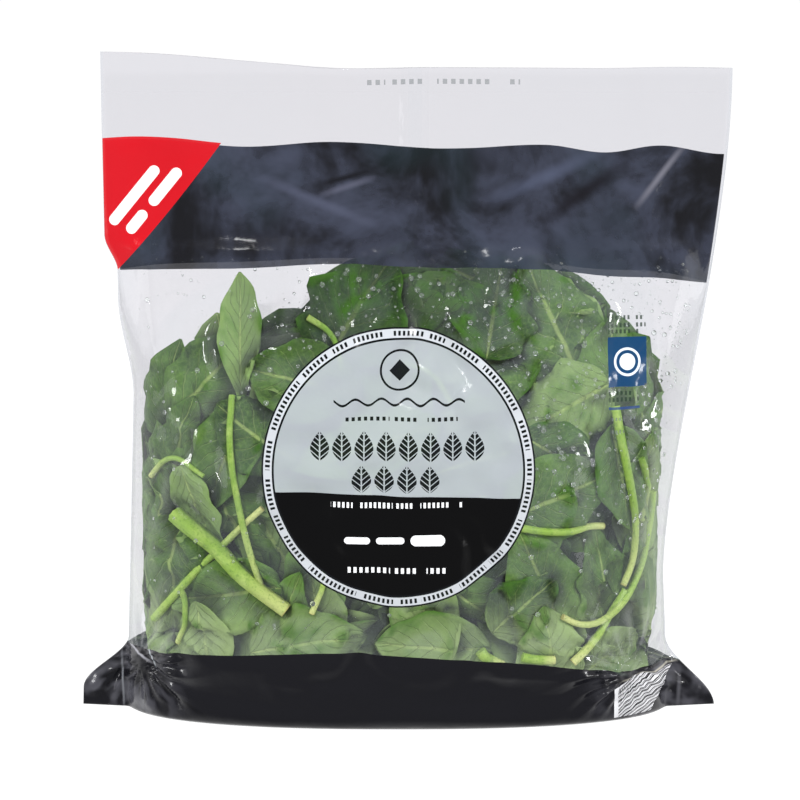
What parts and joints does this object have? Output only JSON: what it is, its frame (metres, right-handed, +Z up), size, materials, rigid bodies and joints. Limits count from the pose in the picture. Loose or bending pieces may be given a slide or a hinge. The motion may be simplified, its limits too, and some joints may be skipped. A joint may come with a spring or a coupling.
{
  "type": "bag of spinach",
  "caption": "Clear sealed film bag of baby spinach leaves, standing on its flattened base, with a flat empty header, dark printed bands and a round label.",
  "frame": {"origin": "middle of the flattened base, on the floor", "axes": "+Z up, the printed front faces -Y, +X to the right of someone looking at the front"},
  "size_m": [0.2825, 0.1046, 0.288],
  "materials": {
    "filled_film": "glossy clear film pressed on green leaves",
    "film": "thin clear film, glossy, with printed bands and label",
    "leaf": "fresh leaf, slightly waxy",
    "stem": "fresh pale green stem",
    "water": "clear drops inside the film"
  },
  "bodies": {
    "root": {"spinach_bag": "filled_film"}
  },
  "joints": []
}
